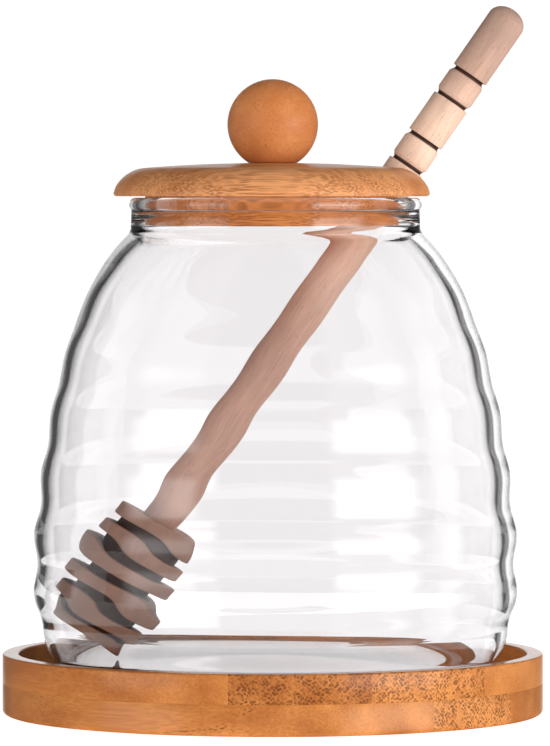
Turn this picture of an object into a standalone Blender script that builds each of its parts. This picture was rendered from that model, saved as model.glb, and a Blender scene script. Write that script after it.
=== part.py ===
"""Honey jar with dipper.

A clear glass jar in the shape of a beehive stands in the recess of a round bamboo saucer. A turned bamboo
lid with a ball knob closes it. A turned wooden dipper leans in the jar and comes out through a slot in the
lid. Lengths are in metres, +Z is up, and the origin is the middle of the saucer's underside.
"""
import math

import bmesh
import bpy
import numpy as np

# Air left between a piece and what it rests on
GAP = 0.0003

# Saucer
SAUCER_RADIUS = 0.060
SAUCER_HEIGHT = 0.0134
SAUCER_EDGE = 0.0010
RECESS_RADIUS = 0.0564
RECESS_DEPTH = 0.0048
RECESS_CORNER = 0.0012

# Jar: heights are above its foot
JAR_SHIFT = 0.0006
JAR_HEIGHT = 0.1054
JAR_FLOOR = 0.0039
JAR_WALL = 0.0026
FOOT_KICK_RADIUS = 0.034
FOOT_KICK = 0.0012
FLOOR_KICK = 0.0005
HEEL_RADIUS = 0.010
FLOOR_CORNER = 0.0015
HIVE_RADIUS = 0.0555
HIVE_TOP = 0.1060
HIVE_SPAN = 0.1704
HIVE_POWER = 3.46
TUCK_DEPTH = 0.0047
TUCK_HEIGHT = 0.0322
RIB_RELIEF = 0.00072
RIB_PITCH = 0.01345
RIB_CREST = 0.0176
RIB_END = 0.0920
INNER_RIB_SHARE = 0.87
NECK_RADIUS = 0.0321
NECK_WALL = 0.0021
NECK_BLEND = 0.00035
SHOULDER_HEIGHT = 0.0985
LIP_RADIUS = 0.0016
LIP_REACH = 0.0005

# Lid
LID_RADIUS = 0.0353
LID_EDGE_HEIGHT = 0.0004
LID_SHOULDER_WIDTH = 0.0070
LID_SHOULDER_HEIGHT = 0.0059
LID_SHOULDER_POWER = 1.15
LID_CROWN = 0.0011
PLUG_RADIUS = 0.0283
PLUG_DEPTH = 0.0067
PLUG_EDGE = 0.0005
SLOT_HALF_WIDTH = 0.0063
SLOT_CENTRE = 0.0198

# Knob
KNOB_RADIUS = 0.01005
KNOB_RISE = 0.0082

# Dipper: heights run along it, from the tip of its head
DIPPER_TILT = math.radians(34.6)
DIPPER_FOOT_X = -0.0419
DIPPER_FOOT_Z = 0.0176
DIPPER_LENGTH = 0.1679
HANDLE_RADIUS = 0.0043
HANDLE_END = 0.0033
RING_PITCH = 0.0173
RING_LENGTH = 0.0074
RING_CHAMFER = 0.0010
RING_FLOOR = 0.0005
RING_DEPTH = 0.0007
FIN_RADII = (0.0089, 0.0108, 0.0120, 0.0119, 0.0104, 0.0098)
FIN_PITCH = 0.0056
FIN_THICKNESS = 0.0033
FIN_EDGE = 0.00035
FIN_LAST = 0.0282
CORE_RADIUS = 0.0077
HEAD_NOSE = 0.0005

# Worked out from the sizes above
RECESS_FLOOR = SAUCER_HEIGHT - RECESS_DEPTH
JAR_FOOT = RECESS_FLOOR + GAP
LID_FOOT = JAR_FOOT + JAR_HEIGHT + GAP
LID_TOP = LID_EDGE_HEIGHT + LID_SHOULDER_HEIGHT + LID_CROWN

SMOOTH_ANGLE = math.radians(32)

# Sides of each turned piece, and rows up the jar's wall
SAUCER_SIDES = 56
JAR_SIDES = 44
LID_SIDES = 44
KNOB_SIDES = 28
DIPPER_SIDES = 20
OUTER_ROWS = 29
INNER_ROWS = 21


def clear_scene():
    """Removes whatever the file holds."""
    for thing in list(bpy.data.objects):
        bpy.data.objects.remove(thing, do_unlink=True)


def finish(name, colour, roughness, transmission=0.0):
    """Makes a plain material of one colour."""
    material = bpy.data.materials.new(name)
    material.use_nodes = True
    shader = material.node_tree.nodes["Principled BSDF"]
    shader.inputs["Base Color"].default_value = (*colour, 1.0)
    shader.inputs["Roughness"].default_value = roughness
    shader.inputs["Metallic"].default_value = 0.0
    shader.inputs["Transmission Weight"].default_value = transmission
    return material


def arc(centre, half_axes, start, end, count):
    """Points (radius, height) on a circle or upright ellipse, from one angle to another in degrees."""
    angles = np.radians(np.linspace(start, end, count))
    return np.column_stack([np.cos(angles), np.sin(angles)]) * half_axes + centre


def turned(name, outline, sides, material):
    """Spins an outline of (radius, height) points, with both ends on the axis, into a closed solid."""
    shape = bmesh.new()
    corners = [shape.verts.new((radius, 0.0, height)) for radius, height in outline]
    edges = [shape.edges.new(pair) for pair in zip(corners, corners[1:])]
    bmesh.ops.spin(shape, geom=corners + edges, cent=(0, 0, 0), axis=(0, 0, 1), angle=math.tau, steps=sides,
                   use_merge=True)
    bmesh.ops.remove_doubles(shape, verts=shape.verts, dist=1e-6)
    bmesh.ops.recalc_face_normals(shape, faces=shape.faces)
    mesh = bpy.data.meshes.new(name)
    shape.to_mesh(mesh)
    shape.free()
    mesh.materials.append(material)
    mesh.shade_smooth()
    mesh.set_sharp_from_angle(angle=SMOOTH_ANGLE)
    thing = bpy.data.objects.new(name, mesh)
    bpy.context.scene.collection.objects.link(thing)
    return thing


def saucer_outline():
    """From the middle of the underside, round the wall, into the recess and back to the middle."""
    rim = SAUCER_RADIUS - SAUCER_EDGE
    inner_edge = SAUCER_EDGE / 2
    corner = RECESS_CORNER
    return np.vstack([
        (0, 0),
        arc((rim, SAUCER_EDGE), SAUCER_EDGE, -90, 0, 3),
        arc((rim, SAUCER_HEIGHT - SAUCER_EDGE), SAUCER_EDGE, 0, 90, 3),
        arc((RECESS_RADIUS + inner_edge, SAUCER_HEIGHT - inner_edge), inner_edge, 90, 180, 3),
        arc((RECESS_RADIUS - corner, RECESS_FLOOR + corner), corner, 0, -90, 3),
        (0, RECESS_FLOOR),
    ])


def ribs(height):
    """A cosine wave up the wall, which fades in a straight line from the foot to the shoulder."""
    relief = RIB_RELIEF * np.clip(1 - height / RIB_END, 0, None)
    return relief * np.cos(math.tau * (height - RIB_CREST) / RIB_PITCH)


def hive_radius(height, inset, rib_share):
    """A superellipse that closes at the top, drawn in near the foot, with ribs."""
    up = (height + HIVE_SPAN - HIVE_TOP) / (HIVE_SPAN - inset)
    dome = (HIVE_RADIUS - inset) * np.clip(1 - up ** HIVE_POWER, 0, None) ** (1 / HIVE_POWER)
    tuck = TUCK_DEPTH * np.clip(1 - height / TUCK_HEIGHT, 0, None) ** 2
    return dome - tuck + rib_share * ribs(height)


def wall_radius(height, inset, rib_share, neck):
    """The hive's radius or the neck's, whichever is more, with a soft bend where they meet."""
    return NECK_BLEND * np.logaddexp(hive_radius(height, inset, rib_share) / NECK_BLEND, neck / NECK_BLEND)


def kick(rise, count):
    """A shallow dome (1 - r^2)^2, from the axis out to the kick's rim."""
    radii = np.linspace(0, 1, count)
    return np.column_stack([radii * FOOT_KICK_RADIUS, rise * (1 - radii ** 2) ** 2])


def jar_outline():
    """From the middle of the foot up the outside, over the lip and down the inside."""
    outer_rows = np.linspace(HEEL_RADIUS, SHOULDER_HEIGHT, OUTER_ROWS)
    outer = wall_radius(outer_rows, 0, 1, NECK_RADIUS)
    inner_rows = np.linspace(SHOULDER_HEIGHT, HEEL_RADIUS, INNER_ROWS)
    inner = wall_radius(inner_rows, JAR_WALL, INNER_RIB_SHARE, NECK_RADIUS - NECK_WALL)
    lip_centre = (NECK_RADIUS + LIP_REACH - LIP_RADIUS, JAR_HEIGHT - LIP_RADIUS)
    heel_centre = (outer[0] - HEEL_RADIUS, HEEL_RADIUS)
    inner_heel_centre = (inner[-1] - HEEL_RADIUS, HEEL_RADIUS)
    # The corner's circle touches the floor, and the heel's circle from within
    centre_gap = HEEL_RADIUS - FLOOR_CORNER
    heel_end = math.asin((HEEL_RADIUS - JAR_FLOOR - FLOOR_CORNER) / centre_gap)
    corner_centre = (inner_heel_centre[0] + centre_gap * math.cos(heel_end), JAR_FLOOR + FLOOR_CORNER)
    heel_end = -math.degrees(heel_end)
    lip_start = -math.degrees(math.acos((NECK_RADIUS - lip_centre[0]) / LIP_RADIUS))
    lip_end = 360 - math.degrees(math.acos((NECK_RADIUS - NECK_WALL - lip_centre[0]) / LIP_RADIUS))
    return np.vstack([
        kick(FOOT_KICK, 4),
        arc(heel_centre, HEEL_RADIUS, -90, 0, 5)[:-1],
        np.column_stack([outer, outer_rows]),
        arc(lip_centre, LIP_RADIUS, lip_start, lip_end, 7),
        np.column_stack([inner, inner_rows]),
        arc(inner_heel_centre, HEEL_RADIUS, 0, heel_end, 3)[1:],
        arc(corner_centre, FLOOR_CORNER, heel_end, -90, 3)[1:],
        kick(FLOOR_KICK, 4)[::-1] + (0, JAR_FLOOR),
    ])


def lid_outline():
    """From the middle of the plug, out under the rim, over the shoulder and up the crown."""
    shoulder_radius = LID_RADIUS - LID_SHOULDER_WIDTH
    turn = np.radians(np.linspace(0, 90, 8))
    shoulder = np.column_stack([
        shoulder_radius + LID_SHOULDER_WIDTH * np.cos(turn) ** LID_SHOULDER_POWER,
        LID_EDGE_HEIGHT + LID_SHOULDER_HEIGHT * np.sin(turn) ** LID_SHOULDER_POWER,
    ])
    radii = np.linspace(shoulder_radius, 0, 6)[1:]
    crown = np.column_stack([radii, LID_TOP - LID_CROWN * (radii / shoulder_radius) ** 2])
    return np.vstack([
        (0, -PLUG_DEPTH),
        arc((PLUG_RADIUS - PLUG_EDGE, PLUG_EDGE - PLUG_DEPTH), PLUG_EDGE, -90, 0, 3),
        (PLUG_RADIUS, 0),
        (LID_RADIUS - LID_EDGE_HEIGHT, 0),
        shoulder,
        crown,
    ])


def knob_outline():
    """A ball cut flat underneath. Heights are above the flat."""
    flat_angle = -math.degrees(math.asin(KNOB_RISE / KNOB_RADIUS))
    ball = arc((0, KNOB_RISE), KNOB_RADIUS, flat_angle, 90, 13)
    return np.vstack([(0, 0), ball[:-1], (0, KNOB_RISE + KNOB_RADIUS)])


def fin(radius, middle):
    """One disc of the dipper's head, with its rim's edges taken off."""
    low = middle - FIN_THICKNESS / 2
    high = middle + FIN_THICKNESS / 2
    return [
        (CORE_RADIUS, low),
        (radius - FIN_EDGE, low),
        (radius, low + FIN_EDGE),
        (radius, high - FIN_EDGE),
        (radius - FIN_EDGE, high),
        (CORE_RADIUS, high),
    ]


def ring(bottom):
    """A chamfered ring between two grooves on the handle, from its lower groove up."""
    groove_radius = HANDLE_RADIUS - RING_DEPTH
    top = bottom + RING_LENGTH
    return [
        (HANDLE_RADIUS, bottom),
        (groove_radius, bottom),
        (groove_radius, bottom + RING_FLOOR),
        (HANDLE_RADIUS, bottom + RING_FLOOR + RING_CHAMFER),
        (HANDLE_RADIUS, top - RING_FLOOR - RING_CHAMFER),
        (groove_radius, top - RING_FLOOR),
        (groove_radius, top),
        (HANDLE_RADIUS, top),
    ]


def dipper_outline():
    """From the tip of the finned head, up the handle and its two rings, to the rounded end."""
    first_radius = FIN_RADII[0]
    first_top = HEAD_NOSE + FIN_THICKNESS * 0.8
    head = [
        (0, 0),
        (first_radius - FIN_EDGE, HEAD_NOSE),
        (first_radius, HEAD_NOSE + FIN_EDGE),
        (first_radius, first_top - FIN_EDGE),
        (first_radius - FIN_EDGE, first_top),
        (CORE_RADIUS - FIN_EDGE, first_top),
    ]
    other_fins = FIN_RADII[1:]
    for number, radius in enumerate(other_fins):
        head += fin(radius, FIN_LAST - FIN_PITCH * (len(other_fins) - 1 - number))
    head[-1] = (HANDLE_RADIUS, head[-1][1])
    lower_ring = ring(DIPPER_LENGTH - 2 * RING_PITCH - RING_LENGTH)
    upper_ring = ring(DIPPER_LENGTH - RING_PITCH - RING_LENGTH)
    end = arc((0, DIPPER_LENGTH - HANDLE_END), (HANDLE_RADIUS, HANDLE_END), 0, 90, 6)
    return np.vstack([head, lower_ring, upper_ring, end[:-1], (0, DIPPER_LENGTH)])


def slot_cutter():
    """An upright block with a round inner end, open towards +X. It cuts the dipper's slot in the lid."""
    reach = 2 * LID_RADIUS
    depth = 2 * (PLUG_DEPTH + LID_TOP)
    inner_end = arc((SLOT_CENTRE, 0), SLOT_HALF_WIDTH, 90, 270, 11)
    outline = np.vstack([(reach, -SLOT_HALF_WIDTH), (reach, SLOT_HALF_WIDTH), inner_end])
    shape = bmesh.new()
    base = shape.faces.new([shape.verts.new((x, y, -depth / 2)) for x, y in outline])
    walls = bmesh.ops.extrude_face_region(shape, geom=[base])
    top = [item for item in walls["geom"] if isinstance(item, bmesh.types.BMVert)]
    bmesh.ops.translate(shape, verts=top, vec=(0, 0, depth))
    bmesh.ops.recalc_face_normals(shape, faces=shape.faces)
    mesh = bpy.data.meshes.new("slot_cutter")
    shape.to_mesh(mesh)
    shape.free()
    cutter = bpy.data.objects.new("slot_cutter", mesh)
    cutter.display_type = "WIRE"
    cutter.hide_render = True
    bpy.context.scene.collection.objects.link(cutter)
    return cutter


def build():
    """Places every piece on what carries it."""
    clear_scene()
    bamboo = finish("bamboo", (0.60, 0.34, 0.15), 0.45)
    knob_wood = finish("knob_wood", (0.55, 0.27, 0.11), 0.35)
    dipper_wood = finish("dipper_wood", (0.62, 0.42, 0.29), 0.6)
    glass = finish("clear_glass", (0.97, 0.98, 0.98), 0.02, transmission=1.0)

    turned("saucer", saucer_outline(), SAUCER_SIDES, bamboo)

    jar = turned("jar", jar_outline(), JAR_SIDES, glass)
    jar.location = (JAR_SHIFT, 0, JAR_FOOT)

    lid = turned("lid", lid_outline(), LID_SIDES, bamboo)
    lid.location = (0, 0, LID_FOOT)
    cutter = slot_cutter()
    cutter.location = lid.location
    slot = lid.modifiers.new("dipper slot", "BOOLEAN")
    slot.operation = "DIFFERENCE"
    slot.solver = "EXACT"
    slot.object = cutter

    knob = turned("knob", knob_outline(), KNOB_SIDES, knob_wood)
    knob.location = (0, 0, LID_FOOT + LID_TOP + GAP)

    dipper = turned("dipper", dipper_outline(), DIPPER_SIDES, dipper_wood)
    dipper.location = (DIPPER_FOOT_X, 0, DIPPER_FOOT_Z)
    dipper.rotation_euler = (0, DIPPER_TILT, 0)


build()
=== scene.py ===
"""Looks of the honey jar with dipper: clear ribbed glass, lacquered bamboo and plain turned wood."""

import math

import bmesh
import bpy
import numpy as np
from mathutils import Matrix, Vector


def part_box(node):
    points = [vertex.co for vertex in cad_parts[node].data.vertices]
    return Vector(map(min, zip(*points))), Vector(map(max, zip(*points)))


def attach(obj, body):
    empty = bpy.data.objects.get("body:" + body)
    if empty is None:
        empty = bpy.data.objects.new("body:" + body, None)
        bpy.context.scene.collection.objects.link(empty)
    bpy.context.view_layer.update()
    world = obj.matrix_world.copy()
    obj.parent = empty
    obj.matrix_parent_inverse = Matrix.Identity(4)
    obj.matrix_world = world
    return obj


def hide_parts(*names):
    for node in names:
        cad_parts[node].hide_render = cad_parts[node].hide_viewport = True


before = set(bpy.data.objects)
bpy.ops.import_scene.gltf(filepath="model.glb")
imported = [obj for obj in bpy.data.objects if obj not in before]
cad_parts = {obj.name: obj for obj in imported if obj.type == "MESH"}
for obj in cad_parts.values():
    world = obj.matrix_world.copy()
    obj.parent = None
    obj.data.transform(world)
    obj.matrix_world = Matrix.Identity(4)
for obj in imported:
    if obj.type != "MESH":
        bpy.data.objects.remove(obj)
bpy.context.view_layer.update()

MM = 0.001

# Saucer, in millimetres
SAUCER_RADIUS = 60.0
SAUCER_HEIGHT = 13.4
SAUCER_EDGE = 1.0
SAUCER_RIM_EDGE = 0.45
RECESS_RADIUS = 56.4
RECESS_DEPTH = 4.8
RECESS_CORNER = 1.2
LAYER_SEAM = 6.9
SEAM_WIDTH = 0.24
SEAM_DEPTH = 0.06

# Jar, in millimetres above its foot
JAR_SHIFT = 0.6
JAR_HEIGHT = 105.4
JAR_FLOOR = 3.9
JAR_WALL = 2.6
KICK_RADIUS = 34.0
FOOT_KICK = 1.2
FLOOR_KICK = 0.5
HEEL_RADIUS = 10.0
FLOOR_CORNER = 1.5
HIVE_RADIUS = 55.5
HIVE_TOP = 106.0
HIVE_SPAN = 170.4
HIVE_POWER = 3.46
TUCK_DEPTH = 4.7
TUCK_HEIGHT = 32.2
RIB_RELIEF = 0.72
RIB_PITCH = 13.45
RIB_CREST = 17.6
RIB_END = 92.0
INNER_RIB_SHARE = 0.87
INNER_SWAY = 0.6
NECK_RADIUS = 32.1
NECK_WALL = 2.1
NECK_BLEND = 0.35
SHOULDER_HEIGHT = 98.5
NECK_HEIGHT = 97.0
LIP_RADIUS = 1.6
LIP_REACH = 0.5

# Lid, in millimetres above its underside
LID_RADIUS = 35.3
LID_EDGE = 0.4
LID_SHOULDER_WIDTH = 7.0
LID_SHOULDER_HEIGHT = 5.9
LID_SHOULDER_POWER = 1.15
LID_CROWN = 1.1
PLUG_RADIUS = 28.3
PLUG_DEPTH = 6.7
PLUG_EDGE = 0.5
SLOT_HALF_WIDTH = 6.3
SLOT_CENTRE = 19.8
SLOT_EDGE = 0.35

# Knob, in millimetres
KNOB_RADIUS = 10.05
KNOB_RISE = 8.2
KNOB_SEAT = 0.3

# Dipper, in millimetres along it from the tip of its head
DIPPER_TILT = math.radians(34.6)
DIPPER_FOOT = (-41.9, 0.0, 17.6)
DIPPER_LENGTH = 167.9
HANDLE_RADIUS = 4.3
HANDLE_END = 3.3
RING_PITCH = 17.3
RING_LENGTH = 7.4
RING_CHAMFER = 1.0
RING_FLOOR = 0.5
RING_DEPTH = 0.7
RING_EDGE = 0.1
FIN_RADII = (8.9, 10.8, 12.0, 11.9, 10.4, 9.8)
FIN_PITCH = 5.6
FIN_THICKNESS = 3.3
FIN_EDGE = 0.35
FIN_LAST = 28.2
CORE_RADIUS = 7.7
HEAD_NOSE = 0.5
HEAD_TOP = FIN_LAST + FIN_THICKNESS / 2
END_ROOM = 0.03  # keeps the end inside the solid's

# Heights of the pieces' feet, from the frame, in millimetres
SAUCER_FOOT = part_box("saucer")[0].z / MM
JAR_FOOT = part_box("jar")[0].z / MM
LID_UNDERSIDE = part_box("lid")[0].z / MM + PLUG_DEPTH
KNOB_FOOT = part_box("knob")[0].z / MM

# Faces round each turned piece
WIDE_SIDES = 192
KNOB_SIDES = 128
DIPPER_SIDES = 96
LID_COLUMNS = 221

# Camera: 550 by 746 pixels, with the long side on a 36 mm sensor
FRAME_PIXELS = 746
SENSOR = 36.0
PIXELS_PER_MM = 4.509
CAMERA_DISTANCE = 1270.0
CAMERA_HEIGHT = 115.3
CAMERA_SIDE = 0.5
AIM_HEIGHT = 75.4

# Bamboo: pale wood, deep wood and dark bundles, as the screen shows them
SAUCER_COLOURS = ((236, 156, 82), (168, 94, 34), (88, 38, 6))
LID_COLOURS = ((236, 164, 108), (178, 106, 56), (118, 58, 20))
KNOB_COLOURS = ((236, 160, 102), (202, 118, 62), (120, 60, 22))

# Glued strips: where each starts across the grain in millimetres, its tone and how crowded its bundles are
LOWER_STRIPS = ((-100, 0.5, 0.35), (-42, 0.55, 0.0), (-21, 0.6, 0.95), (4, 0.5, 0.3), (30, 0.4, 0.4))
UPPER_STRIPS = ((-100, 0.5, 0.2), (-34, 0.0, 1.0), (-5, 0.5, 0.95), (25, 0.7, 0.3))
LID_STRIPS = ((-100, 0.5, 0.8), (-18, 0.5, 0.35), (2, 0.7, 0.5), (24, 0.7, 0.7))
KNOB_STRIPS = ((-100, 0.5, 0.4),)
STRIP_SPAN = 200.0

# Layers of strips: the height of the underside in millimetres, the grain's bearing in degrees and the strips
SAUCER_LAYERS = ((0.0, 55, LOWER_STRIPS), (LAYER_SEAM, 25, UPPER_STRIPS))
LID_LAYERS = ((0.0, 88, LID_STRIPS),)
KNOB_LAYERS = ((0.0, -18, KNOB_STRIPS),)

# Marks in the bamboo, in millimetres along the grain and across it. The lattice wanders by up to so many
# of its cells, and its diagonals are about the square root of two times its pitch.
BROAD_CLOUDS = (30.0, 9.0)
FINE_STREAKS = (12.0, 0.5)
BUNDLE_WANDER = (24.0, 3.0)
CROWDED_PATCHES = (40.0, 5.0)
BUNDLE_BREAKS = (9.0, 1.6)
WANDER = 2.5
DIAGONAL = 1.41

# Wood of the dipper: its tone by the length from the tip of the head, as the screen shows it, which is partly
# the wood's own tone and partly painted shade on the head and on the handle inside the jar and painted light
# on the handle just above the lid; its dark parts, and its marks along the grain and across it, in
# millimetres
DIPPER_TONES_WITH_PAINTED_LIGHT = ((0, (150, 112, 95)), (29, (158, 120, 102)), (36, (212, 170, 152)), (75, (198, 156, 138)),
                (110, (236, 191, 166)), (134, (246, 209, 183)), (150, (200, 162, 141)),
                (162, (182, 147, 130)))
PORE_COLOUR = (110, 74, 56)
GROOVE_COLOUR = (60, 32, 22)
DIPPER_CLOUDS = (30.0, 5.0)
DIPPER_STREAKS = (6.0, 0.35)
DIPPER_PORES = (2.6, 0.55)

# Brightness of the room by direction: degrees to the right of straight ahead, and brightness
THROUGH_GLASS = ((-45, 0.45), (-38, 0.25), (-30, 0.06), (-19, 0.06), (-15.5, 0.7), (-12, 1.0), (0, 0.99),
                 (5, 1.0), (10, 1.2), (15, 1.5), (24, 1.5), (27, 0.15), (34, 0.06), (38, 0.3), (45, 0.45))
MIRRORED = ((-180, 0.15), (-144, 0.15), (-138, 1.8), (-108, 1.8), (-100, 0.2), (-60, 0.15), (-19, 0.1),
            (-14, 0.5), (-7, 1.6), (7, 1.6), (14, 0.5), (19, 0.1), (50, 0.15), (103, 0.4), (111, 3.4),
            (146, 3.4), (152, 0.15), (180, 0.15))
RAMP_TOP = 8.0
AMBIENT = 0.5
BACKDROP = 1.05

# Lamps: place, the point they face and size in metres, and power in watts
LAMPS = {
    "top_softbox": ((0.0, -0.05, 0.95), (0.0, 0.0, 0.0), (0.7, 0.7), 0.2),
    "left_softbox": ((-0.81, -0.59, 0.16), (0.0, 0.0, 0.08), (0.62, 0.9), 1.6),
    "right_softbox": ((0.94, -0.34, 0.16), (0.0, 0.0, 0.08), (1.3, 0.9), 6.4),
    "front_softbox": ((0.2, -1.6, 0.2), (0.0, 0.0, 0.08), (1.2, 0.7), 8.6),
}


def arc(centre, half_axes, start, end, count):
    """Points (radius, height) on a circle or upright ellipse, from one angle to another in degrees."""
    angles = np.radians(np.linspace(start, end, count))
    return np.column_stack([np.cos(angles), np.sin(angles)]) * half_axes + centre


def straight(start, end, count):
    """Evenly spaced points on a straight line between two (radius, height) points, without its ends."""
    share = np.linspace(0, 1, count + 2)[1:-1, None]
    return np.array(start) * (1 - share) + np.array(end) * share


def cells(points, closed=True, first=0):
    """The four-sided faces between the rows and columns of a grid of points, numbered from first.

    Columns run round and meet when closed.
    """
    rows, columns = points.shape[:2]
    numbers = first + np.arange(rows * columns).reshape(rows, columns)
    if closed:
        numbers = np.hstack([numbers, numbers[:, :1]])
    corners = [numbers[:-1, :-1], numbers[:-1, 1:], numbers[1:, 1:], numbers[1:, :-1]]
    return np.stack(corners, axis=-1).reshape(-1, 4)


def surface(name, points, node, crease=None):
    """Makes a turned piece of a grid of points (rows, columns, xyz) in millimetres."""
    return piece(name, points.reshape(-1, 3), cells(points), node, crease)


def piece(name, points, faces, node, crease=None):
    """Makes a closed, smooth mesh from points in millimetres and four-sided faces.

    Points that fall together, such as a row on the axis, are merged, and the normals are turned outwards.
    Edges that bend by more than the crease, in degrees, stay sharp.
    """
    mesh = bpy.data.meshes.new(name)
    mesh.from_pydata((points * MM).tolist(), [], faces.tolist())
    shape = bmesh.new()
    shape.from_mesh(mesh)
    bmesh.ops.remove_doubles(shape, verts=shape.verts, dist=2e-6)
    bmesh.ops.recalc_face_normals(shape, faces=shape.faces)
    shape.to_mesh(mesh)
    shape.free()
    mesh.shade_smooth()
    if crease:
        mesh.set_sharp_from_angle(angle=math.radians(crease))
    thing = bpy.data.objects.new(name, mesh)
    bpy.context.scene.collection.objects.link(thing)
    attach(thing, "root")
    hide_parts(node)
    return thing


def spun(outline, sides):
    """Carries an outline of (radius, height) points round Z: x = r cos a, y = r sin a, z = height."""
    angles = np.linspace(0, math.tau, sides, endpoint=False)
    radii, heights = outline[:, :1], outline[:, 1:]
    return np.stack([radii * np.cos(angles), radii * np.sin(angles), heights + 0 * angles], axis=-1)


def saucer_outline():
    """Underside, rounded wall with the seam of its two layers, flat rim, and the recess to its middle."""
    rim = SAUCER_RADIUS - SAUCER_EDGE
    floor = SAUCER_HEIGHT - RECESS_DEPTH
    corner = RECESS_CORNER
    seam = [
        (SAUCER_RADIUS, LAYER_SEAM - SEAM_WIDTH / 2),
        (SAUCER_RADIUS - SEAM_DEPTH, LAYER_SEAM),
        (SAUCER_RADIUS, LAYER_SEAM + SEAM_WIDTH / 2),
    ]
    top = SAUCER_HEIGHT - SAUCER_RIM_EDGE
    rim_outside = SAUCER_RADIUS - SAUCER_RIM_EDGE
    rim_inside = RECESS_RADIUS + SAUCER_RIM_EDGE
    return np.vstack([
        [(0, 0)],
        straight((0, 0), (rim, 0), 6),
        arc((rim, SAUCER_EDGE), SAUCER_EDGE, -90, 0, 8),
        seam,
        arc((rim_outside, top), SAUCER_RIM_EDGE, 0, 90, 6),
        straight((rim_outside, SAUCER_HEIGHT), (rim_inside, SAUCER_HEIGHT), 2),
        arc((rim_inside, top), SAUCER_RIM_EDGE, 90, 180, 6),
        arc((RECESS_RADIUS - corner, floor + corner), corner, 0, -90, 8),
        straight((RECESS_RADIUS - corner, floor), (0, floor), 6),
        [(0, floor)],
    ])


def ribs(height):
    """A cosine wave up the wall, which fades in a straight line from the foot to the shoulder."""
    relief = RIB_RELIEF * np.clip(1 - height / RIB_END, 0, None)
    return relief * np.cos(math.tau * (height - RIB_CREST) / RIB_PITCH)


def hive_radius(height, inset, rib_share):
    """A superellipse that closes at the top, drawn in near the foot, with ribs."""
    up = (height + HIVE_SPAN - HIVE_TOP) / (HIVE_SPAN - inset)
    dome = (HIVE_RADIUS - inset) * np.clip(1 - up ** HIVE_POWER, 0, None) ** (1 / HIVE_POWER)
    tuck = TUCK_DEPTH * np.clip(1 - height / TUCK_HEIGHT, 0, None) ** 2
    return dome - tuck + rib_share * ribs(height)


def wall_radius(height, inset, rib_share, neck):
    """The hive's radius or the neck's, whichever is more, with a soft bend where they meet."""
    return NECK_BLEND * np.logaddexp(hive_radius(height, inset, rib_share) / NECK_BLEND, neck / NECK_BLEND)


def kick(rise, count):
    """A shallow dome (1 - r^2)^2, from the axis out to the kick's rim."""
    radii = np.linspace(0, 1, count)
    return np.column_stack([radii * KICK_RADIUS, rise * (1 - radii ** 2) ** 2])


def jar_outline():
    """From the middle of the foot up the outside, over the lip and down the inside."""
    outer_rows = np.linspace(HEEL_RADIUS, SHOULDER_HEIGHT, 190)
    outer = wall_radius(outer_rows, 0, 1, NECK_RADIUS)
    inner_rows = np.linspace(SHOULDER_HEIGHT, HEEL_RADIUS, 170)
    inner = wall_radius(inner_rows, JAR_WALL, INNER_RIB_SHARE, NECK_RADIUS - NECK_WALL)
    lip_centre = (NECK_RADIUS + LIP_REACH - LIP_RADIUS, JAR_HEIGHT - LIP_RADIUS)
    heel_centre = (outer[0] - HEEL_RADIUS, HEEL_RADIUS)
    inner_heel_centre = (inner[-1] - HEEL_RADIUS, HEEL_RADIUS)
    # The corner's circle touches the floor, and the heel's circle from within
    centre_gap = HEEL_RADIUS - FLOOR_CORNER
    heel_end = math.asin((HEEL_RADIUS - JAR_FLOOR - FLOOR_CORNER) / centre_gap)
    corner_centre = (inner_heel_centre[0] + centre_gap * math.cos(heel_end), JAR_FLOOR + FLOOR_CORNER)
    heel_end = -math.degrees(heel_end)
    lip_start = -math.degrees(math.acos((NECK_RADIUS - lip_centre[0]) / LIP_RADIUS))
    lip_end = 360 - math.degrees(math.acos((NECK_RADIUS - NECK_WALL - lip_centre[0]) / LIP_RADIUS))
    return np.vstack([
        kick(FOOT_KICK, 16),
        arc(heel_centre, HEEL_RADIUS, -90, 0, 22)[:-1],
        np.column_stack([outer, outer_rows]),
        arc(lip_centre, LIP_RADIUS, lip_start, lip_end, 24),
        np.column_stack([inner, inner_rows]),
        arc(inner_heel_centre, HEEL_RADIUS, 0, heel_end, 14)[1:],
        arc(corner_centre, FLOOR_CORNER, heel_end, -90, 10)[1:],
        kick(FLOOR_KICK, 16)[::-1] + (0, JAR_FLOOR),
    ])


def jar_points():
    """The jar's outline carried round, with its inside swayed to one side by a sine of the height."""
    points = spun(jar_outline(), WIDE_SIDES)
    inside = np.arange(len(points)) >= np.argmax(points[:, 0, 2])
    rise = np.clip(points[..., 2] / NECK_HEIGHT, 0, 1)
    sway = INNER_SWAY * np.sin(rise * math.pi) ** 0.7
    points[inside, :, 0] -= sway[inside]
    return points + (JAR_SHIFT, 0, JAR_FOOT)


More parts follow.
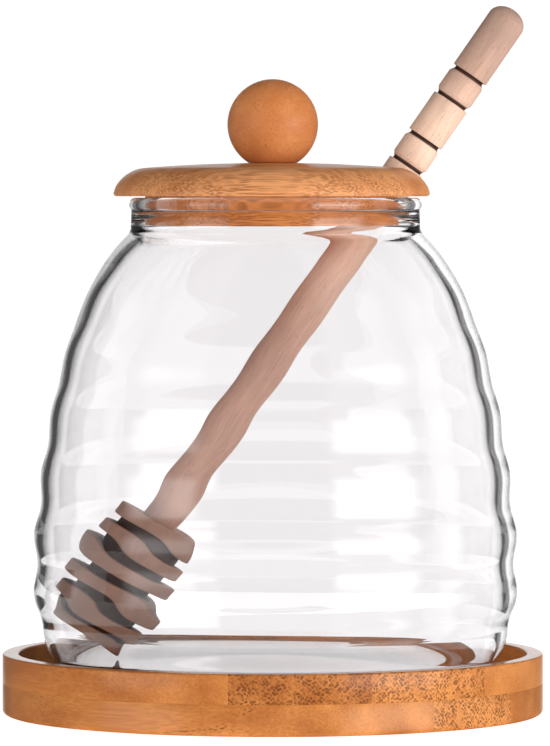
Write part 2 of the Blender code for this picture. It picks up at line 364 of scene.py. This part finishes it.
def lid_section():
    """The lid's lower outline, from the axis out to its edge, and its upper one, from the axis out too."""
    shoulder_radius = LID_RADIUS - LID_SHOULDER_WIDTH
    top = LID_EDGE + LID_SHOULDER_HEIGHT + LID_CROWN
    lower = np.vstack([
        straight((0, -PLUG_DEPTH), (PLUG_RADIUS - PLUG_EDGE, -PLUG_DEPTH), 40),
        arc((PLUG_RADIUS - PLUG_EDGE, PLUG_EDGE - PLUG_DEPTH), PLUG_EDGE, -90, 0, 6),
        straight((PLUG_RADIUS, PLUG_EDGE - PLUG_DEPTH), (PLUG_RADIUS, 0), 3),
        [(PLUG_RADIUS, 0)],
        straight((PLUG_RADIUS, 0), (LID_RADIUS - LID_EDGE, 0), 3),
        [(LID_RADIUS - LID_EDGE, 0), (LID_RADIUS, LID_EDGE)],
    ])
    turn = np.radians(np.linspace(90, 0, 24))
    radii = np.linspace(0, shoulder_radius, 40)[:-1]
    upper = np.vstack([
        np.column_stack([radii, top - LID_CROWN * (radii / shoulder_radius) ** 2]),
        np.column_stack([
            shoulder_radius + LID_SHOULDER_WIDTH * np.cos(turn) ** LID_SHOULDER_POWER,
            LID_EDGE + LID_SHOULDER_HEIGHT * np.sin(turn) ** LID_SHOULDER_POWER,
        ]),
    ])
    return np.vstack([[(0, -PLUG_DEPTH)], lower]), upper


def slot_angle(radius):
    """Half the angle that the slot takes out of a circle of this radius about the lid's axis.

    Beyond the slot's centre the walls are straight, so the angle is asin(w / r). Short of it they are a
    circle of radius w about the slot's centre c, so its cosine is (r^2 + c^2 - w^2) / (2 r c).
    """
    half_width = SLOT_HALF_WIDTH + SLOT_EDGE
    safe = np.maximum(radius, 1e-6)
    straight_part = np.arcsin(np.clip(half_width / safe, 0, 1))
    cosine = (safe ** 2 + SLOT_CENTRE ** 2 - half_width ** 2) / (2 * safe * SLOT_CENTRE)
    round_part = np.arccos(np.clip(cosine, -1, 1))
    corner = math.hypot(SLOT_CENTRE, half_width)
    round_part = np.where(radius < SLOT_CENTRE - half_width, 0, round_part)
    return np.where(radius >= corner, straight_part, round_part)


def polar(radius, angle, height):
    """Points x = r cos a, y = r sin a, z = height."""
    x, y = radius * np.cos(angle), radius * np.sin(angle)
    return np.stack([x, y, height + 0 * x], axis=-1)


def slotted_lid():
    """The turned outline swept round from one side of the slot to the other, and the slot's own wall.

    The wall is a curtain that hangs from the upper outline to the lower one along the slot, with its two
    edges rounded by a quarter circle.
    """
    lower, upper = lid_section()
    half_width = SLOT_HALF_WIDTH + SLOT_EDGE
    round_end = np.radians(np.linspace(180, 90, 14))
    end_radii = np.hypot(SLOT_CENTRE + half_width * np.cos(round_end), half_width * np.sin(round_end))
    more = np.concatenate([upper[:, 0], end_radii])
    more = more[np.abs(more[:, None] - lower[:, 0]).min(axis=1) > 1e-4]
    path = np.vstack([lower, np.column_stack([more, np.interp(more, lower[:, 0], lower[:, 1])])])
    path = path[np.argsort(path[:, 0], kind="stable")]
    over = np.interp(path[:, 0], upper[:, 0], upper[:, 1])
    outline = np.vstack([path, np.column_stack([path[:, 0], over])[::-1]])
    gap = slot_angle(outline[:, :1])
    swept = polar(outline[:, :1], gap + np.linspace(0, 1, LID_COLUMNS) * (math.tau - 2 * gap), outline[:, 1:])

    beside = path[:, 0] > end_radii[0] - 1e-6
    radius, low, high = path[beside, :1], path[beside, 1:], over[beside, None]
    x = radius * np.cos(slot_angle(radius))
    y = radius * np.sin(slot_angle(radius))
    inward_x = np.maximum(x, SLOT_CENTRE) - x
    length = np.hypot(inward_x, y)
    turn = np.radians(np.linspace(0, 90, 5))
    room = np.clip((high - low) / (2.2 * SLOT_EDGE), 0, 1)
    depth = SLOT_EDGE * room * np.sin(turn)
    drop = SLOT_EDGE * room * (1 - np.cos(turn))
    depth = np.hstack([depth, depth[:, ::-1]])
    height = np.hstack([high - drop, (low + drop)[:, ::-1]])
    side = np.stack([x + depth * inward_x / length, y - depth * y / length, height], axis=-1)
    return swept, np.concatenate([side[::-1], side[1:] * (1, -1, 1)])


def knob_outline():
    """A ball cut flat underneath, where it stands on the lid. Heights are above the solid's flat."""
    flat_angle = -math.degrees(math.asin((KNOB_RISE + KNOB_SEAT) / KNOB_RADIUS))
    ball = arc((0, KNOB_RISE), KNOB_RADIUS, flat_angle, 90, 60)
    return np.vstack([[(0, -KNOB_SEAT)], ball[:-1], [(0, KNOB_RISE + KNOB_RADIUS)]])


def fin(radius, middle):
    """One disc of the dipper's head, with its rim's edges rounded."""
    low = middle - FIN_THICKNESS / 2
    high = middle + FIN_THICKNESS / 2
    return np.vstack([
        [(CORE_RADIUS, low)],
        straight((CORE_RADIUS, low), (radius - FIN_EDGE, low), 2),
        arc((radius - FIN_EDGE, low + FIN_EDGE), FIN_EDGE, -90, 0, 5),
        arc((radius - FIN_EDGE, high - FIN_EDGE), FIN_EDGE, 0, 90, 5),
        straight((radius - FIN_EDGE, high), (CORE_RADIUS, high), 2),
        [(CORE_RADIUS, high)],
    ])


def ring(bottom):
    """A chamfered ring between two grooves on the handle, from its lower groove up."""
    groove_radius = HANDLE_RADIUS - RING_DEPTH
    top = bottom + RING_LENGTH
    soft = RING_EDGE
    return np.array([
        (HANDLE_RADIUS, bottom - soft),
        (HANDLE_RADIUS - soft, bottom),
        (groove_radius + soft, bottom),
        (groove_radius, bottom + soft),
        (groove_radius, bottom + RING_FLOOR),
        (HANDLE_RADIUS - soft, bottom + RING_FLOOR + RING_CHAMFER - soft),
        (HANDLE_RADIUS, bottom + RING_FLOOR + RING_CHAMFER + soft),
        (HANDLE_RADIUS, top - RING_FLOOR - RING_CHAMFER - soft),
        (HANDLE_RADIUS - soft, top - RING_FLOOR - RING_CHAMFER + soft),
        (groove_radius, top - RING_FLOOR),
        (groove_radius, top - soft),
        (groove_radius + soft, top),
        (HANDLE_RADIUS - soft, top),
        (HANDLE_RADIUS, top + soft),
    ])


def dipper_outline():
    """From the tip of the finned head, up the handle and its two rings, to the rounded end."""
    first_radius = FIN_RADII[0]
    first_top = HEAD_NOSE + FIN_THICKNESS * 0.8
    nose_radii = np.linspace(0, first_radius - FIN_EDGE, 8)
    head = [
        np.column_stack([nose_radii, HEAD_NOSE * (nose_radii / nose_radii[-1]) ** 2]),
        arc((first_radius - FIN_EDGE, HEAD_NOSE + FIN_EDGE), FIN_EDGE, -60, 0, 4),
        arc((first_radius - FIN_EDGE, first_top - FIN_EDGE), FIN_EDGE, 0, 90, 5),
        [(CORE_RADIUS - FIN_EDGE, first_top)],
    ]
    other_fins = FIN_RADII[1:]
    middles = FIN_LAST - FIN_PITCH * np.arange(len(other_fins) - 1, -1, -1)
    head += [fin(radius, middle) for radius, middle in zip(other_fins, middles)]
    head[-1][-1, 0] = HANDLE_RADIUS
    lower_ring = ring(DIPPER_LENGTH - 2 * RING_PITCH - RING_LENGTH)
    upper_ring = ring(DIPPER_LENGTH - RING_PITCH - RING_LENGTH)
    neck = straight((HANDLE_RADIUS, head[-1][-1, 1]), (HANDLE_RADIUS, lower_ring[0, 1]), 30)
    tip = DIPPER_LENGTH - END_ROOM
    end = arc((0, tip - HANDLE_END), (HANDLE_RADIUS, HANDLE_END), 0, 90, 16)
    return np.vstack([*head, neck, lower_ring, upper_ring, end[:-1], [(0, tip)]])


def tilted(points):
    """Turns points about Y by the dipper's tilt and moves them to the dipper's foot."""
    cosine, sine = math.cos(DIPPER_TILT), math.sin(DIPPER_TILT)
    x, y, z = points[..., 0], points[..., 1], points[..., 2]
    return np.stack([cosine * x + sine * z, y, cosine * z - sine * x], axis=-1) + DIPPER_FOOT


class Nodes:
    """A node tree, written as sums."""

    def __init__(self, tree):
        self.tree = tree

    def put(self, socket, value):
        """Links a socket, or sets its value."""
        if isinstance(value, bpy.types.NodeSocket):
            self.tree.links.new(value, socket)
        else:
            socket.default_value = value

    def node(self, kind, inputs=(), **settings):
        """Adds a node, with settings by name and inputs by number or name."""
        made = self.tree.nodes.new("ShaderNode" + kind)
        for key, value in settings.items():
            setattr(made, key, value)
        for key, value in dict(inputs).items():
            self.put(made.inputs[key], value)
        return made

    def sum(self, operation, *values):
        """One step of arithmetic on numbers."""
        return self.node("Math", enumerate(values), operation=operation).outputs[0]

    def vector(self, operation, *values):
        """One step of arithmetic on vectors."""
        made = self.node("VectorMath", enumerate(values), operation=operation)
        return made.outputs["Value"] if operation == "DOT_PRODUCT" else made.outputs["Vector"]

    def parts(self, vector):
        """The three numbers of a vector."""
        return self.node("SeparateXYZ", {0: vector}).outputs

    def length(self, first, second):
        """The length of a line from its two parts at right angles: the root of the sum of their squares."""
        squares = self.sum("MULTIPLY", first, first), self.sum("MULTIPLY", second, second)
        return self.sum("SQRT", self.sum("ADD", *squares))

    def between(self, value, low, high, to_low=0.0, to_high=1.0):
        """A smooth step from one value to another."""
        inputs = {"Value": value, "From Min": low, "From Max": high, "To Min": to_low, "To Max": to_high}
        return self.node("MapRange", inputs, interpolation_type="SMOOTHSTEP").outputs["Result"]

    def blend(self, share, first, second, kind="MIX"):
        """Mixes two colours."""
        inputs = {0: share, 6: first, 7: second}
        return self.node("Mix", inputs, data_type="RGBA", blend_type=kind).outputs[2]

    def grey(self, value):
        """A grey of this lightness, as a colour."""
        return self.node("CombineColor", {0: value, 1: value, 2: value}).outputs[0]

    def ramp(self, value, stops, steps="LINEAR"):
        """Reads colours off a list of (position, colour), with straight steps in between, or none."""
        made = self.node("ValToRGB", {0: value})
        made.color_ramp.interpolation = steps
        elements = made.color_ramp.elements
        elements.remove(elements[1])
        for number, (position, colour) in enumerate(stops):
            stop = elements[0] if number == 0 else elements.new(position)
            stop.position = position
            stop.color = colour
        return made.outputs[0]

    def noise(self, place, detail=3.0, roughness=0.55):
        """Soft noise from 0 to 1."""
        inputs = {"Vector": place, "Scale": 1.0, "Detail": detail, "Roughness": roughness}
        return self.node("TexNoise", inputs).outputs[0]

    def divided(self, *parts):
        """A place made of three numbers, each divided by the size that follows it."""
        inputs = {index: self.sum("DIVIDE", value, size) for index, (value, size) in enumerate(parts)}
        return self.node("CombineXYZ", inputs).outputs[0]

    def mix(self, share, first, second):
        """Mixes two shaders."""
        return self.node("MixShader", {0: share, 1: first, 2: second}).outputs[0]


class Finish(Nodes):
    """A material about one Principled shader."""

    def __init__(self, name):
        self.material = bpy.data.materials.new(name)
        self.material.use_nodes = True
        super().__init__(self.material.node_tree)
        self.shader = self.tree.nodes["Principled BSDF"]

    def set(self, **values):
        """Sets the shader's sockets by name, with a low line for each space."""
        for name, value in values.items():
            self.put(self.shader.inputs[name.replace("_", " ")], value)

    def millimetres(self, foot=(0.0, 0.0, 0.0)):
        """Object coordinates in millimetres, counted from this foot."""
        shift = tuple(np.array(foot) * MM)
        place = self.vector("SUBTRACT", self.node("TexCoord").outputs["Object"], shift)
        scaled = self.vector("SCALE", place)
        scaled.node.inputs["Scale"].default_value = 1 / MM
        return scaled

    def bump(self, height, distance):
        """Relief of this height, over a distance in millimetres."""
        inputs = {"Strength": 0.3, "Distance": distance * MM, "Height": height}
        self.set(Normal=self.node("Bump", inputs).outputs[0])


def rgb(red, green, blue):
    """A colour from 0 to 255, as the screen shows it, in linear light."""
    shown = np.array([red, green, blue]) / 255
    linear = np.where(shown <= 0.04045, shown / 12.92, ((shown + 0.055) / 1.055) ** 2.4)
    return (*linear.tolist(), 1.0)


def grain_axes(degrees):
    """Level directions along the grain and across it, with the bearing counted from -Y towards +X."""
    angle = math.radians(degrees)
    along = (math.sin(angle), -math.cos(angle), 0.0)
    return along, (-along[1], along[0], 0.0)


def bamboo(name, colours, layers, dots=1.0, streaks=1.0, pitch=0.85, edit=None, coat=0.0):
    """Lacquered bamboo: glued strips, with streaks along the grain and rows of dark bundles.

    The bundles are long thin cells about the grain's direction, on a slightly uneven diagonal lattice of this
    pitch, so they show as dots where the surface cuts the grain and as streaks where it runs along it.
    """
    pale, deep, dot = (rgb(*colour) for colour in colours)
    r = Finish(name)
    place = r.millimetres()
    height = r.parts(place)[2]
    along, across = grain_axes(layers[0][1])
    if len(layers) > 1:
        upper = r.sum("GREATER_THAN", height, layers[1][0])
        upper_along, upper_across = grain_axes(layers[1][1])
        along = r.blend(upper, (*along, 1), (*upper_along, 1))
        across = r.blend(upper, (*across, 1), (*upper_across, 1))
    u = r.vector("DOT_PRODUCT", place, along)
    v = r.vector("DOT_PRODUCT", place, across)

    share = r.sum("ADD", r.sum("DIVIDE", v, STRIP_SPAN), 0.5)
    plans = []
    for _, _, strips in layers:
        stops = [(0.5 + start / STRIP_SPAN, (tone, crowd, 0.0, 1.0)) for start, tone, crowd in strips]
        plans.append(r.ramp(share, stops, "CONSTANT"))
    plan = r.blend(upper, *plans) if len(plans) > 1 else plans[0]
    plan = r.node("SeparateColor", {0: plan}).outputs
    strip_tone, strip_crowd = plan[0], plan[1]

    def stretched(length, width):
        """A place whose cells are this long along the grain and this wide across it, in millimetres."""
        return r.divided((u, length), (v, width), (height, width))

    broad = r.noise(stretched(*BROAD_CLOUDS), 2.0)
    streak = r.noise(stretched(*FINE_STREAKS), 4.0, 0.6)

    # The lattice runs along both diagonals of the distance across the grain and the height
    wave = r.sum("MULTIPLY", r.noise(stretched(*BUNDLE_WANDER), 2.0), WANDER)
    rising = r.sum("DIVIDE", r.sum("ADD", v, height), pitch * DIAGONAL)
    falling = r.sum("DIVIDE", r.sum("SUBTRACT", height, v), pitch * DIAGONAL)
    slant = {0: r.sum("ADD", rising, wave), 1: r.sum("SUBTRACT", falling, wave)}
    lattice = {"Vector": r.node("CombineXYZ", slant).outputs[0], "Scale": 1.0, "Randomness": 0.6}
    from_middle = r.node("TexVoronoi", lattice, voronoi_dimensions="2D").outputs["Distance"]

    # Crowded places have larger and darker bundles
    crowd = r.sum("ADD", r.noise(stretched(*CROWDED_PATCHES)), r.sum("SUBTRACT", strip_crowd, 0.5))
    crowd = r.between(crowd, 0.25, 0.85)
    size = r.sum("ADD", r.sum("MULTIPLY", crowd, 0.24), 0.22)
    edge = r.between(from_middle, r.sum("MULTIPLY", size, 0.5), r.sum("MULTIPLY", size, 1.3))
    broken = r.between(r.noise(stretched(*BUNDLE_BREAKS), 2.0), 0.35, 0.6, 0.25, 1.0)
    depth = r.sum("MULTIPLY", r.between(crowd, 0.0, 0.7, 0.1, 1.0), dots)
    bundle = r.sum("MULTIPLY", r.sum("SUBTRACT", 1.0, edge), broken)
    bundle = r.sum("MULTIPLY", bundle, depth)

    tone = r.sum("ADD", r.sum("MULTIPLY", broad, 0.55), r.sum("MULTIPLY", streak, 0.35 * streaks))
    tone = r.sum("ADD", tone, r.sum("MULTIPLY", strip_tone, 0.32))
    tone = r.sum("ADD", tone, r.sum("MULTIPLY", crowd, 0.1))
    colour = r.blend(r.between(tone, 0.4, 0.95), deep, pale)
    colour = r.blend(r.sum("MULTIPLY", bundle, 0.9), colour, dot)
    if edit:
        colour = edit(r, place, height, colour)
    r.set(Base_Color=colour, Roughness=r.between(streak, 0.2, 0.8, 0.3, 0.4))
    r.set(Specular_IOR_Level=0.3, Coat_Weight=coat, Coat_Roughness=0.16)
    r.bump(r.sum("SUBTRACT", streak, bundle), 0.05)
    return r.material


def painted_plug_shade(r, place, height, colour):
    """Painted shade: the lid's plug, which stands in the jar's neck, is given a deeper tone than the rest of
    it.
    """
    # Painted shade: a deeper, more saturated tone where the plug sits in the neck
    shaded_plug = r.blend(1.0, colour, (1.03, 0.86, 0.6, 1.0), "MULTIPLY")
    return r.blend(r.between(height, LID_UNDERSIDE + 0.1, LID_UNDERSIDE - 0.1), colour, shaded_plug)


def painted_recess_shading(r, place, height, colour):
    """Painted shade and light: the recess's wall is darker on the left and paler on the right, as the light
    falls on it.
    """
    x, y, z = r.parts(place)
    within = r.between(r.length(x, y), RECESS_RADIUS + 0.4, RECESS_RADIUS + 0.1)
    below = r.between(height, SAUCER_HEIGHT - 0.1, SAUCER_HEIGHT - 0.5)
    # Painted shade on the left of the recess's wall and painted light on its right
    light_and_shade = r.grey(r.between(x, -50.0, 50.0, 0.4, 1.35))
    painted_wall = r.blend(1.0, colour, light_and_shade, "MULTIPLY")
    return r.blend(r.sum("MULTIPLY", within, below), colour, painted_wall)


def turned_wood(name):
    """Plain wood with fine streaks and pores along it, a tone along its length that holds painted shade and
    light, and dark grooves between its discs and rings.
    """
    r = Finish(name)
    axis = (math.sin(DIPPER_TILT), 0.0, math.cos(DIPPER_TILT))
    place = r.millimetres(DIPPER_FOOT)
    u = r.vector("DOT_PRODUCT", place, axis)
    side = r.vector("DOT_PRODUCT", place, (axis[2], 0.0, -axis[0]))
    back = r.parts(place)[1]

    def stretched(length, width):
        """A place whose cells are this long along the grain and this wide across it, in millimetres."""
        return r.divided((side, width), (back, width), (u, length))

    broad = r.noise(stretched(*DIPPER_CLOUDS), 2.0)
    streak = r.noise(stretched(*DIPPER_STREAKS), 4.0, 0.6)
    pores = r.node("TexVoronoi", {"Vector": stretched(*DIPPER_PORES), "Scale": 1.0}).outputs["Distance"]
    pore = r.sum("SUBTRACT", 1.0, r.between(pores, 0.10, 0.24))

    # The tone along the dipper is partly its wood and partly painted shade on the head and the handle inside
    # the jar, and painted light just above the lid
    tones_with_painted_light = [(length / DIPPER_LENGTH, rgb(*tone)) for length, tone in DIPPER_TONES_WITH_PAINTED_LIGHT]
    colour = r.ramp(r.sum("DIVIDE", u, DIPPER_LENGTH), tones_with_painted_light)
    grain = r.sum("ADD", r.sum("MULTIPLY", broad, 0.55), r.sum("MULTIPLY", streak, 0.45))
    colour = r.blend(1.0, colour, r.grey(r.between(grain, 0.3, 0.7, 0.8, 1.15)), "MULTIPLY")
    colour = r.blend(r.sum("MULTIPLY", pore, 0.3), colour, rgb(*PORE_COLOUR))

    # A groove is where the surface lies deeper than the discs or the handle
    groove_radius = r.between(u, HEAD_TOP + 0.05, HEAD_TOP + 0.25, CORE_RADIUS + 1.2, HANDLE_RADIUS - 0.3)
    groove = r.between(r.sum("SUBTRACT", groove_radius, r.length(side, back)), 0.0, 0.3)
    on_head = r.sum("LESS_THAN", u, HEAD_TOP - 0.05)
    past_neck = r.sum("GREATER_THAN", u, DIPPER_LENGTH - 60.0)
    before_end = r.sum("LESS_THAN", u, DIPPER_LENGTH - 10.0)
    grooved = r.sum("MAXIMUM", on_head, r.sum("MULTIPLY", past_neck, before_end))
    colour = r.blend(r.sum("MULTIPLY", groove, grooved), colour, rgb(*GROOVE_COLOUR))
    r.set(Base_Color=colour, Roughness=r.between(streak, 0.2, 0.8, 0.5, 0.65))
    r.bump(r.sum("SUBTRACT", streak, pore), 0.04)
    return r.material


def clear_glass(name):
    """Clear glass that lets lamplight through to what stands in it."""
    r = Finish(name)
    r.set(Base_Color=(0.999, 0.986, 0.993, 1.0), Roughness=0.0, IOR=1.5, Transmission_Weight=1.0)
    clear = r.node("BsdfTransparent", {"Color": (0.94, 0.94, 0.94, 1.0)}).outputs[0]
    in_shadow = r.node("LightPath").outputs["Is Shadow Ray"]
    r.put(r.tree.nodes["Material Output"].inputs["Surface"], r.mix(in_shadow, r.shader.outputs[0], clear))
    return r.material


def floor():
    """A plain round white table top."""
    points = polar(np.linspace(0, 300, 4)[:, None], np.linspace(0, math.tau, 96, endpoint=False), -0.02)
    mesh = bpy.data.meshes.new("table_top")
    mesh.from_pydata((points.reshape(-1, 3) * MM).tolist(), [], cells(points)[:, ::-1].tolist())
    top = bpy.data.objects.new("table_top", mesh)
    top.visible_glossy = False
    bpy.context.scene.collection.objects.link(top)
    paint = Finish("table_white")
    paint.set(Base_Color=(0.85, 0.85, 0.85, 1.0), Roughness=0.7, Specular_IOR_Level=0.2)
    paint.set(Emission_Color=(1.0, 1.0, 1.0, 1.0), Emission_Strength=0.85)
    mesh.materials.append(paint.material)


def lamp(name, place, aim, size, power):
    """A soft rectangular lamp, in metres and watts, that no mirror or glass shows."""
    light = bpy.data.lights.new(name, "AREA")
    light.shape = "RECTANGLE"
    light.size, light.size_y = size
    light.energy = power
    thing = bpy.data.objects.new(name, light)
    bpy.context.scene.collection.objects.link(thing)
    thing.location = place
    towards = np.array(aim) - np.array(place)
    level = math.hypot(towards[0], towards[1])
    thing.rotation_euler = (math.atan2(level, -towards[2]), 0, math.atan2(-towards[0], towards[1]))
    thing.visible_glossy = False
    thing.visible_transmission = False


def studio():
    """A bright room: plain white to the camera, and by kind of ray to the glass and the wood.

    Light that comes through the glass meets a white wall with a darker gap at each side of it, which draws
    the glass's edges. The same wall stands at each of the four sides. Light that a surface mirrors meets a
    narrow white wall at the back and a soft glow at each side. Light that wood scatters meets an even grey.
    """
    world = bpy.data.worlds.new("studio")
    bpy.context.scene.world = world
    world.use_nodes = True
    world.node_tree.nodes.clear()
    r = Nodes(world.node_tree)
    x, y, z = r.parts(r.node("TexCoord").outputs["Generated"])
    angle = r.sum("ARCTAN2", x, y)

    def glow(colour, strength):
        """Light of this colour and strength."""
        return r.node("Background", {0: colour, 1: strength}).outputs[0]

    def wall(share, span, stops, strength):
        """Light by direction: stops are (degrees, brightness) over this span about straight ahead."""
        greys = [(0.5 + degrees / span, (*[light / RAMP_TOP] * 3, 1)) for degrees, light in stops]
        return glow(r.ramp(share, greys), strength)

    quarter = r.sum("FRACT", r.sum("ADD", r.sum("DIVIDE", angle, math.pi / 2), 0.5))
    under_ceiling = r.between(z, 0.3, 0.6, RAMP_TOP, 0.3 * RAMP_TOP)
    through = wall(quarter, 90, THROUGH_GLASS, under_ceiling)

    round_share = r.sum("ADD", r.sum("DIVIDE", angle, math.tau), 0.5)
    from_level = r.sum("ABSOLUTE", r.sum("SUBTRACT", z, 0.02))
    near_level = r.between(from_level, 0.16, 0.34, RAMP_TOP, 0.12 * RAMP_TOP)
    mirrored = wall(round_share, 360, MIRRORED, near_level)

    ambient = glow((1, 1, 1, 1), r.between(r.sum("ABSOLUTE", z), 0.2, 0.6, AMBIENT, 0.3 * AMBIENT))
    backdrop = glow((1, 1, 1, 1), BACKDROP)

    path = r.node("LightPath").outputs
    straight_on = r.sum("LESS_THAN", r.sum("ADD", path["Glossy Depth"], path["Diffuse Depth"]), 0.5)
    ahead = r.sum("GREATER_THAN", y, 0.0)
    reached = r.sum("MULTIPLY", path["Is Transmission Ray"], r.sum("MAXIMUM", straight_on, ahead))
    scattered = r.sum("GREATER_THAN", path["Diffuse Depth"], 0.5)
    lit = r.mix(scattered, r.mix(reached, mirrored, through), ambient)
    r.node("OutputWorld", {0: r.mix(path["Is Camera Ray"], lit, backdrop)})

    for name, settings in LAMPS.items():
        lamp(name, *settings)


def camera():
    """The photograph's view: a long lens, level with the lid's underside and aimed slightly down."""
    lens = bpy.data.cameras.new("camera")
    lens.sensor_width = SENSOR
    lens.lens = PIXELS_PER_MM * CAMERA_DISTANCE * SENSOR / FRAME_PIXELS
    lens.clip_start = 0.01
    lens.dof.use_dof = False
    eye = bpy.data.objects.new("camera", lens)
    bpy.context.scene.collection.objects.link(eye)
    eye.location = (CAMERA_SIDE * MM, -CAMERA_DISTANCE * MM, CAMERA_HEIGHT * MM)
    dip = math.atan2(CAMERA_HEIGHT - AIM_HEIGHT, CAMERA_DISTANCE)
    eye.rotation_euler = (math.pi / 2 - dip, 0, 0)
    bpy.context.scene.camera = eye


def dress():
    """Makes every piece in its place and gives it its finish."""
    saucer_points = spun(saucer_outline(), WIDE_SIDES) + (0, 0, SAUCER_FOOT)
    saucer = surface("bamboo_saucer", saucer_points, "saucer", 40)
    jar = surface("ribbed_jar", jar_points(), "jar")
    swept, curtain = slotted_lid()
    lid_points = np.vstack([swept.reshape(-1, 3), curtain.reshape(-1, 3)]) + (0, 0, LID_UNDERSIDE)
    curtain_cells = cells(curtain, closed=False, first=swept[..., 0].size)
    lid_faces = np.vstack([cells(swept, closed=False), curtain_cells])
    lid = piece("slotted_lid", lid_points, lid_faces, "lid", 40)
    knob_points = spun(knob_outline(), KNOB_SIDES) + (0, 0, KNOB_FOOT)
    knob = surface("ball_knob", knob_points, "knob", 50)
    dipper_points = tilted(spun(dipper_outline(), DIPPER_SIDES))
    dipper = surface("turned_dipper", dipper_points, "dipper", 50)

    saucer_finish = bamboo("saucer_bamboo", SAUCER_COLOURS, SAUCER_LAYERS, dots=0.85, pitch=0.72,
                           edit=painted_recess_shading, coat=0.4)
    lid_finish = bamboo("lid_bamboo", LID_COLOURS, LID_LAYERS, dots=0.6, streaks=1.4, pitch=0.52,
                        edit=painted_plug_shade)
    knob_finish = bamboo("knob_bamboo", KNOB_COLOURS, KNOB_LAYERS, dots=0.45)
    finishes = {
        saucer: saucer_finish,
        jar: clear_glass("clear_glass"),
        lid: lid_finish,
        knob: knob_finish,
        dipper: turned_wood("dipper_beech"),
    }
    for thing, finish in finishes.items():
        thing.data.materials.clear()
        thing.data.materials.append(finish)


dress()
floor()
studio()
camera()

scene = bpy.context.scene
scene.view_settings.view_transform = "Standard"
scene.cycles.max_bounces = 24
scene.cycles.transmission_bounces = 20
scene.cycles.transparent_max_bounces = 24
